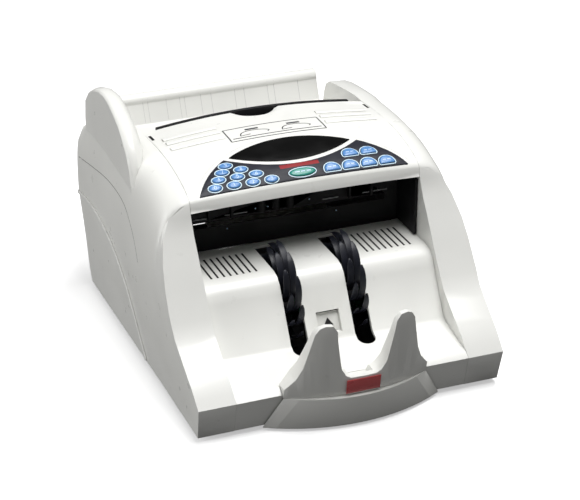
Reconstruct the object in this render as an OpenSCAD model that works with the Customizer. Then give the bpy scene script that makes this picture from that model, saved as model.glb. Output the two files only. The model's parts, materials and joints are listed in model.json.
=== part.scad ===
// Desktop banknote counting machine: rear hopper, feed throat, keypad hood, stacker wheels and front fork.
// +X is the operator's right, +Y is the rear, +Z is up; the origin is on the table under the middle of the part.

/* [Case] */
// Distance from the middle plane to the seams of the hood
seam_x = 110.5; // [110:0.1:111]
// Thickness of the moulded covers
wall = 2.6; // [2.4:0.1:2.8]
// Height of the rubber feet
foot_h = 5; // [4.6:0.1:5]
// Width of a side cover at its shoulder, near the front
shoulder_front = 36.5; // [35:0.1:37]
// Width of a side cover at its shoulder, near the rear
shoulder_rear = 38.5; // [37:0.1:39]

/* [Hood] */
// Height of the hood at its seams
hood_top = 192.3; // [191.5:0.1:193]
// Rise of the hood from its seams to the middle, at its rear edge
hood_crown = 8.5; // [7:0.1:9]
// Thickness of the hood
hood_wall = 3; // [2.6:0.1:3]

/* [Keypad] */
// Width of a digit key's cap
key_w = 11.4; // [10:0.1:11.6]
// Depth of a digit key's cap
key_d = 7; // [6.4:0.1:7]
// Gap between a key cap and its hole
key_gap = 0.3; // [0.2:0.05:0.4]
// Travel of a key
key_travel = 0.6; // [0.4:0.1:0.6]

/* [Stacker] */
// Radius over the tips of the stacker wheel's vanes
vane_r = 50.5; // [49:0.5:51]
// Number of vanes on each stacker wheel
vane_count = 12; // [10:1:12]
// Width of a stacker wheel
vane_w = 13; // [11:0.5:14]
// Distance from the middle plane to each stacker wheel's middle
wheel_x = 31; // [30.5:0.1:31.5]

/* [Drive] */
// Radius of the shafts
shaft_r = 4; // [4:0.1:4]
// Clearance round a running shaft
run_gap = 0.05; // [0.03:0.01:0.08]
// Radius of the feed rollers
feed_r = 19.5; // [19:0.1:19.5]
// Radius of the pickup rollers
pickup_r = 20.3; // [19.6:0.1:20.4]

/* [Hidden] */

slop = 0.1;
far = 400;
front_y = -166;
rear_y = 182;
// Everything is laid out from the middle of the feet; the middle of the whole part lies this far behind it
middle_y = 8.85;
module centred() { translate([0, -middle_y, 0]) children(); }

// Upper front edge of the arms and the cheek line of the rear, as [y, z]
arm_face = [[front_y, 35.9], [-150, 50], [-131.5, 62.5], [-111, 77], [-96, 97], [-74, 130.4], [-61, 149],
            [-53, 165], [-51, 174]];
cheek_line = [[84, 189.2], [97, 189.3], [124, 186], [150, 182], [165, 179.5], [174, 174], [179, 164],
              [rear_y, 150]];
// Lower edge of the side covers, as [y, z]
sill_line = [[front_y, 35.2], [-158.7, foot_h], [163, foot_h], [171, 56], [178, 80], [rear_y, 95]];
// Rear outline of the case, as [y, z]
rear_line = [[163, foot_h], [171, 56], [179, 84], [rear_y, 96], [rear_y, 106], [180, 128], [176, 150]];

lip_y = -52.4;
lip_z = 166.3;
hood_front_y = -51;
hood_front_z = 174.3;
hood_peak_y = 24;
hood_rear_y = 84;

// Height of the hood's seam over a place along Y: a rounded front, then a slight fall to the rear
function seam_z(y) =
  y < hood_peak_y
    ? hood_front_z + (hood_top - hood_front_z)
      * pow(1 - pow((hood_peak_y - y) / (hood_peak_y - hood_front_y), 1.7), 1 / 1.7)
    : hood_top - 3.6 * pow((y - hood_peak_y) / 60, 2);
function crown(x, y) =
  (2 + (hood_crown - 2) * pow(max(0, (y - lip_y) / 137), 0.6)) * (1 - pow(x / seam_x, 2));
function hood_z(x, y) = seam_z(y) + crown(x, y);
function hood_tilt(x, y) = atan((hood_z(x, y + 1) - hood_z(x, y - 1)) / 2);

// Side covers: each station along Y is a ring from the inner foot, up the bulged side, to the inner top
stations = [front_y, -164, -161, -158.7, -150, -140, -131.5, -121, -111, -103, -96, -85, -74, -61, -53, -50.9,
            -49.5, -46, -38, -24, -8, 12, 40, 62, 84, 100, 124, 140, 150, 160, 165, 170, 174, 179, rear_y];
side_steps = 14;
function cover_top(y) =
  y <= hood_front_y ? lookup(y, arm_face) : y < hood_rear_y ? seam_z(y) : lookup(y, cheek_line);
function tube_top(y) = max(cover_top(y), 175);
function widest_z(y) = lookup(y, [[-60, 86], [166, 103]]);
function roundness(y) = lookup(y, [[-60, 2.4], [166, 3.7]]);
function shoulder_w(y) = lookup(y, [[-60, shoulder_front], [166, shoulder_rear]]);
function side_w(y, z) =
  z < widest_z(y)
    ? shoulder_w(y) - 3.4 * (1 - z / widest_z(y))
    : max(0.6, shoulder_w(y) * pow(max(0, 1 - pow((z - widest_z(y)) / (tube_top(y) - widest_z(y)),
        roundness(y))), 1 / roundness(y)));
// The mechanism reaches into the covers between the pocket and the hopper, where they are open inwards
function is_open(y) = y > -46 && y < 84;
function cover_ring(y, inset) =
  let (z0 = lookup(y, sill_line) + inset, z1 = cover_top(y) - inset,
       x0 = inset == 0 ? seam_x : is_open(y) ? seam_x - 1 : seam_x + inset)
  concat([[x0, y, z0]],
         [for (j = [0:side_steps])
           let (z = z0 + (z1 - z0) * sin(90 * j / side_steps))
           [seam_x + max(side_w(y, z) - inset, 0.3 + (x0 - seam_x) * (inset == 0 ? 0 : 1)), y, z]],
         [[x0, y, z1]]);

// A closed skin over rings that all have the same number of points
module skin(rings) {
  n = len(rings[0]);
  m = len(rings);
  polyhedron(
    points = [for (r = rings) for (p = r) p],
    faces = concat(
      [[for (j = [n - 1:-1:0]) j]],
      [for (i = [0:m - 2]) for (j = [0:n - 1])
        [i * n + j, (i + 1) * n + (j + 1) % n, (i + 1) * n + j]],
      [for (i = [0:m - 2]) for (j = [0:n - 1])
        [i * n + j, i * n + (j + 1) % n, (i + 1) * n + (j + 1) % n]],
      [[for (j = [0:n - 1]) (m - 1) * n + j]]));
}

boss_r = 4;
boss_length = 34;
// Screw bosses of a side cover, as [y, z]
boss_places = [[-120, 24], [-20, 24], [60, 24], [140, 24]];
module cover_boss(y, z) {
  for (rib = [[0, 1], [1, 0]])
    hull() {
      translate([seam_x + 1, y, z])
        rotate([0, 90, 0])
          cylinder(r = boss_r, h = boss_length, $fn = 24);
      translate([seam_x + 1, y - 6 * rib[0] - 1, z - 8 * rib[1] - 1])
        cube([boss_length + 1, 2, 2]);
    }
}
module cover_block(inset) {
  skin([for (y = stations) if (inset == 0 || (y > -155 && y < 181)) cover_ring(y, inset)]);
}
module side_cover() {
  difference() {
    union() {
      difference() {
        cover_block(0);
        cover_block(wall);
      }
      intersection() {
        cover_block(wall / 2);
        for (p = boss_places) cover_boss(p[0], p[1]);
      }
    }
    for (p = boss_places)
      translate([seam_x - 2, p[0], p[1]])
        rotate([0, 90, 0])
          cylinder(r = 1.5, h = 20, $fn = 24);
  }
}
module side_cover_right() { color("whitesmoke") side_cover(); }
module side_cover_left() { color("whitesmoke") mirror([1, 0, 0]) side_cover(); }

// Hood: a crowned sheet over a profile of [y, z] points, with its inner face offset square to the profile
hood_profile = concat(
  [[lip_y, lip_z], [-51.9, 170.5]],
  [for (y = [-50.9, -50, -48.5, -46.5, -44, -40, -35, -29, -22, -14, -5, 8, 24, 40, 55, 70, hood_rear_y])
    [y, seam_z(y)]]);
hood_rows = len(hood_profile);
hood_cols = 20;
hood_half = seam_x - 0.3;
function hood_normal(k) =
  let (a = hood_profile[max(0, k - 1)], b = hood_profile[min(hood_rows - 1, k + 1)],
       t = (b - a) / norm(b - a))
  [t[1], -t[0]];
function hood_point(x, k, depth) =
  let (p = hood_profile[k] + hood_normal(k) * depth)
  [x, p[0], p[1] + crown(x, hood_profile[k][0])];
module hood_sheet(near, below) {
  skin([for (i = [0:hood_cols])
    let (x = hood_half * (2 * i / hood_cols - 1))
    concat([for (k = [0:hood_rows - 1]) hood_point(x, k, near)],
           [for (k = [hood_rows - 1:-1:0]) hood_point(x, k, below)])]);
}

// Keys: digits in a wedge of rows on the left, the restart key in the middle, function keys on the right
digit_row = 7.9;
digit_pitch = 17.6;
digit_shift = 6;
digit_skew = 0.4;
digit_left = -84;
digit_front = -43;
digit_places = [for (r = [0:3]) for (c = [0:3 - r])
                 [digit_left + digit_shift * r + digit_pitch * c, digit_front + digit_row * r - digit_skew * c]];
function_pitch = 17.9;
function_places = concat([for (c = [0:3]) [27.6 + function_pitch * c, -41.4]],
                         [for (c = [0:1]) [50.6 + function_pitch * c, -27.4]]);
restart_place = [-0.9, -42.2];
restart_w = 24.4;
restart_d = 9;
moon_w = 14;
moon_d = 9;
// A half-moon is cut from a circle through the ends of its flat side and the top of its arch
moon_r = (pow(moon_w / 2, 2) + pow(moon_d, 2)) / (2 * moon_d);
outline_step = 12;
key_places = concat(digit_places, [restart_place], function_places);
cap_top = 1.9;
cap_root = 5.4;
flange_h = 1;
flange_rim = 1;
overlay_near = -0.85;
overlay_far = -0.05;

module at_key(p) {
  translate([p[0], p[1], hood_z(p[0], p[1])]) rotate([hood_tilt(p[0], p[1]), 0, 0]) children();
}
function ellipse(w, d) = [for (a = [0:outline_step:360 - outline_step]) [w / 2 * cos(a), d / 2 * sin(a)]];
// Outline of a key, drawn out by a margin: digits and restart are ellipses, function keys are half-moons
module key_outline(k, margin) {
  if (k < len(digit_places))
    polygon(ellipse(key_w + 2 * margin, key_d + 2 * margin));
  else if (k == len(digit_places))
    polygon(ellipse(restart_w + 2 * margin, restart_d + 2 * margin));
  else
    intersection() {
      translate([0, moon_d / 2 - moon_r]) circle(r = moon_r + margin, $fn = 40);
      translate([-moon_w, -moon_d / 2 - margin]) square([2 * moon_w, 2 * moon_d]);
    }
}
module key_holes() {
  for (k = [0:len(key_places) - 1])
    at_key(key_places[k])
      hull()
        translate([0, 0, -7])
          linear_extrude(14)
            key_outline(k, key_gap);
}
board_tilt = 21.4;
board_y = -41;
board_z = 172;
board_t = 1.6;
switch_h = 2.2;
switch_gap = key_travel + 0.2;
function board_drop(p) =
  (hood_z(p[0], p[1]) - (board_z + (p[1] - board_y) * tan(board_tilt))) * cos(hood_tilt(p[0], p[1]));
module key_cap(k, tint) {
  p = key_places[k];
  stem = board_drop(p) - switch_h - switch_gap;
  color(tint)
    at_key(p) {
      translate([0, 0, -cap_root]) linear_extrude(cap_root + cap_top) key_outline(k, 0);
      intersection() {
        translate([0, 0, -cap_root]) linear_extrude(flange_h) key_outline(k, flange_rim);
        cube([2 * far, key_d, 4 * cap_root], center = true);
      }
      translate([0, 0, -stem]) cylinder(r = 1.6, h = stem - cap_root + slop, $fn = 32);
    }
}

hinge_y = 80;
hinge_z = 178;
hinge_r = 2.5;
// Finger notch in the hood's rear edge: a crescent with a sloped lip
notch_half = 20;
notch_depth = 12;
notch_lip = 7;
notch_r = (pow(notch_half, 2) + pow(notch_depth, 2)) / (2 * notch_depth);
notch_z = hood_z(0, hood_rear_y - notch_depth);
module hood_shell() {
  color("white")
    difference() {
      union() {
        hood_sheet(0, hood_wall);
        for (s = [-1, 1])
          translate([s * (hood_half - 1.25) - 1.25, 0, 0])
            rotate([90, 0, 90])
              linear_extrude(2.5)
                polygon([[-49, 165.5], [-49, 172], [-40, 180], [-20, 187], [84, 187], [84, 176], [72, 170]]);
      }
      key_holes();
      translate([0, hood_rear_y - notch_depth + notch_r, 0]) {
        translate([0, 0, 160]) cylinder(r = notch_r, h = 50, $fn = 96);
        translate([0, 0, notch_z - hood_wall])
          cylinder(r1 = notch_r, r2 = notch_r + notch_lip, h = hood_wall, $fn = 96);
        translate([0, 0, notch_z - slop]) cylinder(r = notch_r + notch_lip, h = 5, $fn = 96);
      }
    }
}
module hood_hinges() {
  color("silver")
    for (s = [-1, 1])
      translate([s * 100 - 2, 0, 0])
        rotate([90, 0, 90])
          linear_extrude(4)
            difference() {
              hull() {
                translate([hinge_y, hinge_z]) circle(r = 5, $fn = 48);
                translate([hinge_y - 22, 184.5]) square([20, 3]);
              }
              translate([hinge_y, hinge_z]) circle(r = hinge_r + run_gap, $fn = 48);
            }
}

panel_r = 116.2;
panel_y = -107.1;
panel_front = -48.2;
lens_top_r = 112.1;
lens_top_y = -104.1;
lens_low_r = 106.1;
lens_low_y = 79.7;
lens_band = 5;
module keypad_overlay() {
  color("midnightblue")
    difference() {
      intersection() {
        hood_sheet(overlay_near, overlay_far);
        translate([0, 0, 150])
          linear_extrude(60)
            difference() {
              translate([0, panel_y]) circle(r = panel_r, $fn = 120);
              translate([-150, panel_front - 200]) square([300, 200]);
              translate([0, lens_low_y]) circle(r = lens_low_r + lens_band, $fn = 120);
            }
      }
      key_holes();
    }
}
module display_window() {
  color("black")
    intersection() {
      hood_sheet(overlay_near, overlay_far);
      translate([0, 0, 150])
        linear_extrude(60)
          intersection() {
            translate([0, lens_top_y]) circle(r = lens_top_r, $fn = 120);
            translate([0, lens_low_y]) circle(r = lens_low_r, $fn = 120);
          }
    }
}
module display_board() {
  color("darkgreen") {
    translate([0, board_y, board_z])
      rotate([board_tilt, 0, 0])
        translate([-94, -2, -board_t])
          cube([188, 36, board_t]);
    for (p = key_places)
      at_key(p)
        translate([0, 0, -board_drop(p) - 1])
          cylinder(r = 2.4, h = switch_h + 1, $fn = 32);
  }
}
throat_half = 97;
throat_t = 4;
throat_rise = 1;
module throat_plate() {
  color("black")
    translate([0, hood_rear_y + 0.2 + throat_t, 0])
      rotate([90, 0, 0])
        linear_extrude(throat_t)
          polygon(concat([[throat_half, 152], [-throat_half, 152]],
                         [for (k = [-12:12])
                           let (x = throat_half * k / 12) [x, hood_z(x, hood_rear_y) + throat_rise]]));
}
knob_y = 77;
knob_r = 6.5;
module gap_knob() {
  color("dimgray")
    translate([0, knob_y, 0]) {
      translate([0, 0, 184]) cylinder(r = knob_r, h = 6, $fn = 48);
      translate([0, 0, 168]) cylinder(r = 2.5, h = 16.5, $fn = 32);
    }
}

// Chassis
pan_t = 1.5;
pan_top = foot_h + pan_t + 0.02;
pan_half = seam_x - 0.4;
module base_pan() {
  color("silver")
    difference() {
      translate([-pan_half, -157, foot_h]) cube([2 * pan_half, 316.5, pan_t]);
      for (sx = [-1, 1]) for (sy = [-1, 1])
        translate([sx * foot_x, sy * foot_y, 0]) cylinder(r = 2, h = 20, $fn = 32);
    }
}
foot_x = 96;
foot_y = 140;
module rubber_feet() {
  color("black")
    for (sx = [-1, 1]) for (sy = [-1, 1])
      translate([sx * foot_x, sy * foot_y, 0]) {
        cylinder(r = 9, h = foot_h - 0.02, $fn = 48);
        cylinder(r = 1.95, h = foot_h + pan_t + 1, $fn = 32);
      }
}

stacker_y = -61;
stacker_z = 75;
feed_y = 96;
feed_z = 128;
pickup_y = 140;
pickup_z = 132;
motor_y = 30;
motor_z = 50;
stack_motor_y = -28;
stack_motor_z = 42;
bearing_r = 11;
frame_x = 105;
frame_t = 2;
shaft_places = [[stacker_y, stacker_z], [feed_y, feed_z], [pickup_y, pickup_z]];
rod_places = [[-134, 22], [-4, 60], [70, 22], [148, 20], [60, 148]];
rod_r = 4;
module side_frame(s) {
  color("dimgray")
    translate([s * frame_x - frame_t / 2, 0, 0]) {
      rotate([90, 0, 90])
        linear_extrude(frame_t)
          difference() {
            union() {
              polygon([[-140, pan_top], [154, pan_top], [154, 148], [112, 144.5], [89, 142], [87, 170],
                       [74, 172], [40, 170], [0, 150], [-2, 100], [-62, 99], [-88, 82], [-106, 48],
                       [-140, 38]]);
              translate([hinge_y, hinge_z]) circle(r = 6.5, $fn = 48);
              translate([hinge_y - 8, 160]) square([14, 18]);
            }
            for (p = shaft_places) translate(p) circle(r = bearing_r + 0.02, $fn = 64);
            for (p = boss_places) translate(p) circle(r = 1.7, $fn = 32);
          }
      translate([s > 0 ? -9 : 0, hinge_y, hinge_z])
        rotate([0, 90, 0])
          cylinder(r = hinge_r, h = 9 + frame_t, $fn = 48);
    }
}
module side_frame_left() { side_frame(-1); }
module side_frame_right() { side_frame(1); }
module tie_rods() {
  color("silver")
    for (p = rod_places)
      translate([-frame_x + frame_t / 2 + 0.02, p[0], p[1]])
        rotate([0, 90, 0])
          cylinder(r = rod_r, h = 2 * frame_x - frame_t - 0.04, $fn = 48);
}
module shaft_bearings() {
  color("lightgray")
    for (p = shaft_places)
      for (s = [-1, 1])
        translate([s * frame_x - 3, p[0], p[1]])
          rotate([0, 90, 0])
            difference() {
              cylinder(r = bearing_r, h = 6, $fn = 64);
              translate([0, 0, -1]) cylinder(r = shaft_r + run_gap, h = 8, $fn = 64);
            }
}
module cross_shaft(p, half) {
  translate([-half, p[0], p[1]]) rotate([0, 90, 0]) cylinder(r = shaft_r, h = 2 * half, $fn = 64);
}
module ring(p, x, w, r_out, r_in) {
  translate([x - w / 2, p[0], p[1]])
    rotate([0, 90, 0])
      difference() {
        cylinder(r = r_out, h = w, $fn = 64);
        translate([0, 0, -1]) cylinder(r = r_in, h = w + 2, $fn = 64);
      }
}

// Stacker wheels
hub_r = 15;
vane_t = 1.8;
vane_sweep = 70;
vane_steps = 8;
vane_tip_phase = 15;
function vane_edge(side) =
  [for (i = [0:vane_steps])
    let (t = i / vane_steps, r = hub_r + 0.3 + (vane_r - hub_r - 0.3) * t, a = -vane_sweep * t,
         d = side * vane_t / 2 * (1 - 0.3 * t) * 57.3 / r)
    [r * cos(a + d), r * sin(a + d)]];
function reversed(v) = [for (i = [len(v) - 1:-1:0]) v[i]];
module stacker_shaft() { color("silver") cross_shaft(shaft_places[0], frame_x + 3); }
module stacker_hubs() {
  color("lightgray")
    for (s = [-1, 1]) ring(shaft_places[0], s * wheel_x, vane_w, hub_r, shaft_r);
}
module stacker_vanes() {
  color("dimgray")
    for (s = [-1, 1])
      translate([s * wheel_x - vane_w / 2, stacker_y, stacker_z])
        rotate([90, 0, 90])
          linear_extrude(vane_w)
            for (k = [0:vane_count - 1])
              rotate(k * 360 / vane_count + vane_sweep + vane_tip_phase)
                polygon(concat(vane_edge(-1), reversed(vane_edge(1))));
}
pulley_w = 6;
stack_pulley_r = 12;
feed_pulley_r = 14;
link_pulley_r = 11;
motor_pulley_r = 8;
pulley_x = -92;
link_x = 92;
module stacker_pulley() { color("black") ring(shaft_places[0], pulley_x, pulley_w, stack_pulley_r, shaft_r); }
module feed_shaft() {
  color("silver") cross_shaft(shaft_places[1], frame_x + 3);
  color("black") {
    ring(shaft_places[1], pulley_x, pulley_w, feed_pulley_r, shaft_r);
    ring(shaft_places[1], link_x, pulley_w, link_pulley_r, shaft_r);
  }
}
module feed_rollers() {
  color("sienna")
    for (s = [-1, 1]) ring(shaft_places[1], s * 34, 20, feed_r, shaft_r);
}
module pickup_shaft() {
  color("silver") cross_shaft(shaft_places[2], frame_x + 3);
  color("black") ring(shaft_places[2], link_x, pulley_w, link_pulley_r, shaft_r);
}
module pickup_rollers() {
  color("sienna")
    for (s = [-1, 1]) ring(shaft_places[2], s * 34, 16, pickup_r, shaft_r);
}
motor_shaft_r = 3;
module motor_can(p, x, r, length) {
  translate([x, p[0], p[1]])
    rotate([0, 90, 0])
      difference() {
        cylinder(r = r, h = length, $fn = 64);
        translate([0, 0, -1]) cylinder(r = motor_shaft_r + run_gap, h = 21, $fn = 48);
      }
}
main_motor_place = [motor_y, motor_z];
stack_motor_place = [stack_motor_y, stack_motor_z];
module main_motor() {
  color("gray") {
    motor_can(main_motor_place, -80, 30, 70);
    translate([-78, motor_y - 32, pan_top]) cube([66, 64, 18]);
  }
}
module stacker_motor() {
  color("gray") {
    motor_can(stack_motor_place, -80, 19, 36);
    translate([-78, stack_motor_y - 19, pan_top]) cube([34, 38, 18]);
  }
}
module motor_pulley(p) {
  color("silver") {
    translate([pulley_x - pulley_w / 2, p[0], p[1]])
      rotate([0, 90, 0])
        cylinder(r = motor_pulley_r, h = pulley_w, $fn = 64);
    translate([pulley_x, p[0], p[1]])
      rotate([0, 90, 0])
        cylinder(r = motor_shaft_r, h = 28, $fn = 48);
  }
}
module main_motor_pulley() { motor_pulley(main_motor_place); }
module stacker_motor_pulley() { motor_pulley(stack_motor_place); }

belt_t = 1.2;
belt_gap = 0.15;
module belt(a, ra, b, rb, x) {
  translate([x - 2.5, 0, 0])
    rotate([90, 0, 90])
      linear_extrude(5)
        difference() {
          hull() {
            translate(a) circle(r = ra + belt_gap + belt_t, $fn = 64);
            translate(b) circle(r = rb + belt_gap + belt_t, $fn = 64);
          }
          hull() {
            translate(a) circle(r = ra + belt_gap, $fn = 64);
            translate(b) circle(r = rb + belt_gap, $fn = 64);
          }
        }
}
module drive_belts() {
  color("black") {
    belt(stack_motor_place, motor_pulley_r, shaft_places[0], stack_pulley_r, pulley_x);
    belt(main_motor_place, motor_pulley_r, shaft_places[1], feed_pulley_r, pulley_x);
    belt(shaft_places[1], link_pulley_r, shaft_places[2], link_pulley_r, link_x);
  }
}

// Note pocket
plate_t = 2.4;
pocket_line = [[-10, 105.2], [-71, 106.3], [-79, 104.3], [-85, 99.5], [-89, 92.5], [-112.8, 51.7],
               [-118, 48.8], [-160.3, 39.9], [front_y, 35.9]];
// The pocket's back is steep between these heights, and the sheet is drawn square to it there
function is_steep(z) = z > 51 && z < 100;
module strip(line, t, half) {
  translate([-half, 0, 0])
    rotate([90, 0, 90])
      linear_extrude(2 * half)
        polygon(concat(line, [for (p = reversed(line)) [p[0] + t * (is_steep(p[1]) ? 1.1 : 0.3), p[1] - t]]));
}
slot_half = 8.5;
slot_rear = -17.5;
slot_front = -118.5;
module stacker_plate() {
  color("white")
    difference() {
      union() {
        strip(pocket_line, plate_t, seam_x - 0.15);
        translate([-seam_x + 0.15, 0, 0])
          rotate([90, 0, 90])
            linear_extrude(2 * seam_x - 0.3)
              polygon([[front_y, 35.9], [-158.7, foot_h + 0.2], [-157.2, foot_h + 0.2], [-158.4, 36],
                       [-160, 39.9]]);
      }
      for (s = [-1, 1]) {
        translate([s * wheel_x - slot_half, slot_front, 20])
          cube([2 * slot_half, slot_rear - slot_front, 100]);
        translate([s * wheel_x, slot_front, 20]) cylinder(r = slot_half, h = 100, $fn = 64);
        for (k = [0:7])
          translate([s * (54 + 6.1 * k) - 0.7, -66, 95]) cube([1.4, 40, 20]);
      }
      translate([-68.4, -190, 33.4]) cube([136.8, 190 - 157.2, 20]);
      translate([-11, -114, 55]) cube([22, 20, 18]);
    }
}
lens_slope = 59.8;
module sensor_lens() {
  translate([0, -107.4, 53.7])
    rotate([lens_slope, 0, 0]) {
      color("white")
        translate([-13, 0, -2]) cube([26, 19.5, 2]);
      color("black")
        translate([0, 7, -0.5]) linear_extrude(2) polygon([[-4.5, 0], [4.5, 0], [0, 7]]);
    }
}
fork_r = 156.9;
fork_front = -183;
fork_base = 33.8;
fork_top = 109.5;
fork_lean = 0.15;
module fork_plate() {
  color("white")
    difference() {
      intersection() {
        translate([0, fork_front + fork_r, 0])
          rotate_extrude($fn = 96)
            polygon([[fork_r - 26, fork_base], [fork_r, fork_base],
                     [fork_r + fork_lean * (fork_top - fork_base), fork_top],
                     [fork_r + fork_lean * (fork_top - fork_base) - 5, fork_top], [fork_r - 14, 52]]);
        translate([0, -150, 0])
          rotate([90, 0, 0])
            linear_extrude(60)
              polygon(fork_outline());
        translate([-100, -200, 0]) cube([200, 200 - 157.4, 150]);
      }
      translate([-11, -179, 44]) cube([22, 40, 20]);
    }
}
// Right half of the fork's outline, as [x, z], from the foot round the prong to the middle
fork_half = [[68, fork_base], [68, 42.6], [59, 54], [54, 66], [50.5, 82], [46.5, 101], [43, 107],
             [38, fork_top], [31.5, 109], [27.5, 103], [26, 90], [23, 72], [21, 62], [16.5, 54.5], [12, 52]];
function fork_outline() = concat(fork_half, [for (p = reversed(fork_half)) [-p[0], p[1]]]);

module bow(r, front, back) {
  intersection() {
    translate([0, front + r]) circle(r = r, $fn = 96);
    translate([-120, front - 10]) square([240, back - front + 10]);
  }
}
module front_skirt() {
  color("gainsboro")
    hull() {
      translate([0, 0, 32.5]) linear_extrude(1) bow(125.6, -187, -167.2);
      translate([0, 0, 3]) linear_extrude(1) bow(167, -182.5, -159.6);
    }
}
module front_badge() {
  color("firebrick")
    translate([-16, 0, 0])
      rotate([90, 0, 90])
        linear_extrude(32)
          polygon([[fork_front - 0.5, 36], [fork_front - 2.6, 50], [fork_front - 3.4, 50],
                   [fork_front - 1.3, 36]]);
}

// Dark wall behind the pocket: a back with an exit slit and three guide ribs, and a return at each side
wall_y = -9;
module guide_wall() {
  color("black") {
    difference() {
      translate([-109.8, wall_y, 105.6]) cube([219.6, 2.4, 58]);
      translate([-95, wall_y - 1, 128]) cube([190, 5, 6]);
    }
    for (s = [-1, 1])
      translate([s * 108.7 - 1.1, -50, 107]) cube([2.2, 50 + wall_y + 1, 56]);
    for (k = [-1:1])
      translate([-14 + 14 * k, wall_y + 0.5, 136]) {
        cylinder(r = 4, h = 24, $fn = 48);
        translate([0, 0, 24]) sphere(r = 4, $fn = 48);
      }
    for (x = [-80, -58, 58, 80])
      translate([x - 1, wall_y - 5, 136]) cube([2, 6, 27]);
  }
}

// Hopper
module hopper_floor() {
  color("white")
    difference() {
      translate([-seam_x + 0.4, 0, 0])
        rotate([90, 0, 90])
          linear_extrude(2 * seam_x - 0.8)
            polygon([[90.5, 144], [90.5, 146.5], [176, 155.2], [176, 152.7]]);
      for (s = [-1, 1]) {
        translate([s * 34 - 11.5, 80, 130]) cube([23, 33.5, 40]);
        translate([s * 34 - 9.5, pickup_y - 14, 130]) cube([19, 28, 40]);
      }
    }
}
roll_y = 202;
roll_z = 173.5;
roll_r = 7;
module back_plate() {
  color("whitesmoke")
    translate([-109, 0, 0])
      rotate([90, 0, 90]) {
        linear_extrude(218)
          polygon([[176.5, 143.02], [176.5, 150.5], [187, 152.5], [roll_y - 5, roll_z + 2],
                   [roll_y + 3, roll_z - 4], [191, 143.02]]);
        translate([roll_y, roll_z, 0]) cylinder(r = roll_r, h = 218, $fn = 48);
      }
}
inlet_x = -70;
switch_x = -30;
module rear_cover() {
  color("whitesmoke")
    difference() {
      translate([-seam_x + 0.3, 0, 0])
        rotate([90, 0, 90])
          linear_extrude(2 * seam_x - 0.6)
            polygon(concat([for (p = rear_line) [p[0], p[1] > 140 ? 143 : p[1]]],
                           [for (p = reversed(rear_line)) [p[0] - wall, p[1] > 140 ? 143 : p[1]]]));
      translate([inlet_x - 14, 140, 26]) cube([28, 60, 20]);
      translate([switch_x - 7, 140, 26]) cube([14, 60, 20]);
      for (k = [0:11])
        translate([20 + 6 * k, 140, 70]) cube([2, 60, 44]);
    }
}
module power_inlet() {
  color("black")
    difference() {
      translate([inlet_x - 13.9, 146, 26.1]) cube([27.8, 21, 19.8]);
      translate([inlet_x - 11, 150, 29]) cube([22, 30, 14]);
    }
  color("silver")
    for (dx = [-7, 0, 7])
      translate([inlet_x + dx - 1, 148, 35]) cube([2, 14, 4]);
}
rocker_y = 166;
rocker_z = 36;
module power_rocker() {
  color("black")
    intersection() {
      translate([switch_x - 6.6, rocker_y - 2, rocker_z])
        rotate([0, 90, 0])
          cylinder(r = 8.6, h = 13.2, $fn = 64);
      translate([switch_x - 6.6, rocker_y - 8, rocker_z - 8.4]) cube([13.2, 12.5, 16.8]);
    }
}
module power_supply() {
  color("goldenrod") {
    translate([10, 92, pan_top]) cube([62, 50, 46]);
    translate([18, 88, 18]) cube([46, 54, 28]);
  }
}
module main_board() {
  color("darkgreen") {
    translate([14, -12, 16]) cube([80, 92, 1.6]);
    for (p = [[24, 0], [60, 10], [30, 36]])
      translate([p[0], p[1], 17.4]) cube([22, 16, 5]);
    for (x = [18, 90]) for (y = [-8, 76])
      translate([x, y, pan_top]) cylinder(r = 2.5, h = 9.6, $fn = 24);
  }
}

// Outline of the fin from the left, as [y, z]
fin_outline = [[10, 138], [14.5, 158], [18, 170], [23, 183], [30, 195], [42, 206.5], [55, 215], [72, 222],
               [88, 226.5], [100, 227.5], [116, 226], [137, 219.5], [156, 209], [167, 198], [170, 180],
               [170, 138]];
// Each slice across the fin is [x, how far the outline is drawn in]; its inner side leans out as it rises
fin_slices = [[-142.5, 3], [-141.5, 1.5], [-140, 0.6], [-137, 0.1], [-134, 0], [-130, 1], [-127, 4],
              [-124, 10], [-121, 20]];
module fin_slice(k) {
  translate([fin_slices[k][0], 0, 0])
    rotate([90, 0, 90])
      linear_extrude(0.05)
        offset(delta = -fin_slices[k][1])
          polygon(fin_outline);
}
module hopper_fin() {
  color("whitesmoke")
    difference() {
      for (k = [0:len(fin_slices) - 2])
        hull() {
          fin_slice(k);
          fin_slice(k + 1);
        }
      mirror([1, 0, 0])
        for (d = [0, 0.15])
          translate([0, 0, d]) cover_block(0);
    }
}
module cover_screws() {
  color("silver")
    for (s = [-1, 1]) for (p = boss_places)
      translate([s * (frame_x - frame_t / 2 - 2), p[0], p[1]])
        rotate([0, s * 90, 0]) {
          cylinder(r = 3, h = 1.98, $fn = 32);
          cylinder(r = 1.45, h = 16, $fn = 32);
        }
}

centred() base_pan();
centred() rubber_feet();
centred() side_frame_left();
centred() side_frame_right();
centred() tie_rods();
centred() side_cover_left();
centred() side_cover_right();
centred() rear_cover();
centred() hopper_fin();
centred() hopper_floor();
centred() back_plate();
centred() stacker_plate();
centred() fork_plate();
centred() front_skirt();
centred() front_badge();
centred() guide_wall();
centred() sensor_lens();
centred() shaft_bearings();
centred() main_motor();
centred() stacker_motor();
centred() power_supply();
centred() main_board();
centred() power_inlet();
centred() cover_screws();
centred() drive_belts();
centred() hood_shell();
centred() hood_hinges();
centred() throat_plate();
centred() keypad_overlay();
centred() display_window();
centred() display_board();
centred() gap_knob();
centred() stacker_shaft();
centred() stacker_hubs();
centred() stacker_vanes();
centred() stacker_pulley();
centred() feed_shaft();
centred() feed_rollers();
centred() pickup_shaft();
centred() pickup_rollers();
centred() main_motor_pulley();
centred() stacker_motor_pulley();
centred() power_rocker();
centred() key_cap(0, "steelblue");  // key_digit_0
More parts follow.
